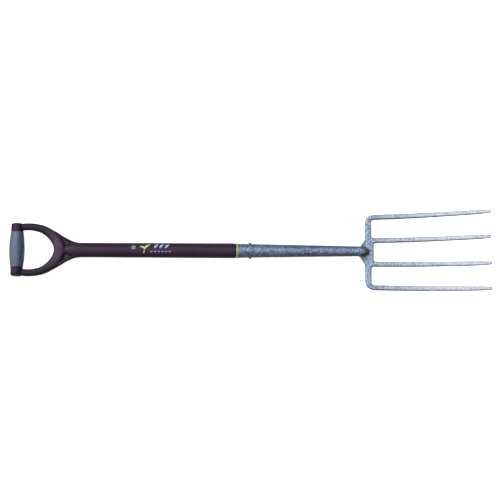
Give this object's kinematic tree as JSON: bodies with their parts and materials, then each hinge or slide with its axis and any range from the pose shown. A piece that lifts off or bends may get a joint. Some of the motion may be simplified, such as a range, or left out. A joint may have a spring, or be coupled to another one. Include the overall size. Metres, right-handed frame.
{
  "type": "digging fork",
  "caption": "Garden digging fork with flat-faced curved tines on a cranked crosshead, a long tapered socket, a sleeved tubular shaft and a D handle with a soft grip.",
  "frame": {"origin": "on the surface the fork lies on, under the middle of its length and width", "axes": "+X from the D handle to the tine tips, +Y across the tines, +Z out of the fork's front, the hollow side of its curve"},
  "size_m": [1.02, 0.1736, 0.0452],
  "materials": {
    "head_enamel": "pale blue-grey hammered enamel on forged steel",
    "socket_enamel": "blue-grey hammered enamel on steel tube",
    "weld_enamel": "enamelled weld bead",
    "rivet_steel": "dull dark steel",
    "plug_wood": "turned hardwood, unfinished",
    "collar_plastic": "lime green moulded plastic",
    "tube_steel": "drawn steel tube",
    "sleeve_plastic": "dark purple-brown extruded plastic, satin",
    "handle_plastic": "dark purple-brown moulded plastic, fine texture",
    "cap_plastic": "dark moulded plastic",
    "grip_rubber": "blue-grey soft-touch thermoplastic rubber",
    "screw_steel": "zinc-plated steel"
  },
  "bodies": {
    "root": {"fork_head": "head_enamel", "head_socket": "socket_enamel", "neck_weld": "weld_enamel", "socket_rivet": "rivet_steel", "shaft_plug": "plug_wood", "collar_ring": "collar_plastic", "shaft_tube": "tube_steel", "shaft_sleeve": "sleeve_plastic", "d_handle_frame": "handle_plastic", "grip_core_tube": "tube_steel", "grip_sleeve": "grip_rubber", "grip_end_cap_left": "cap_plastic", "grip_end_cap_right": "cap_plastic", "handle_screw": "screw_steel"}
  },
  "joints": []
}
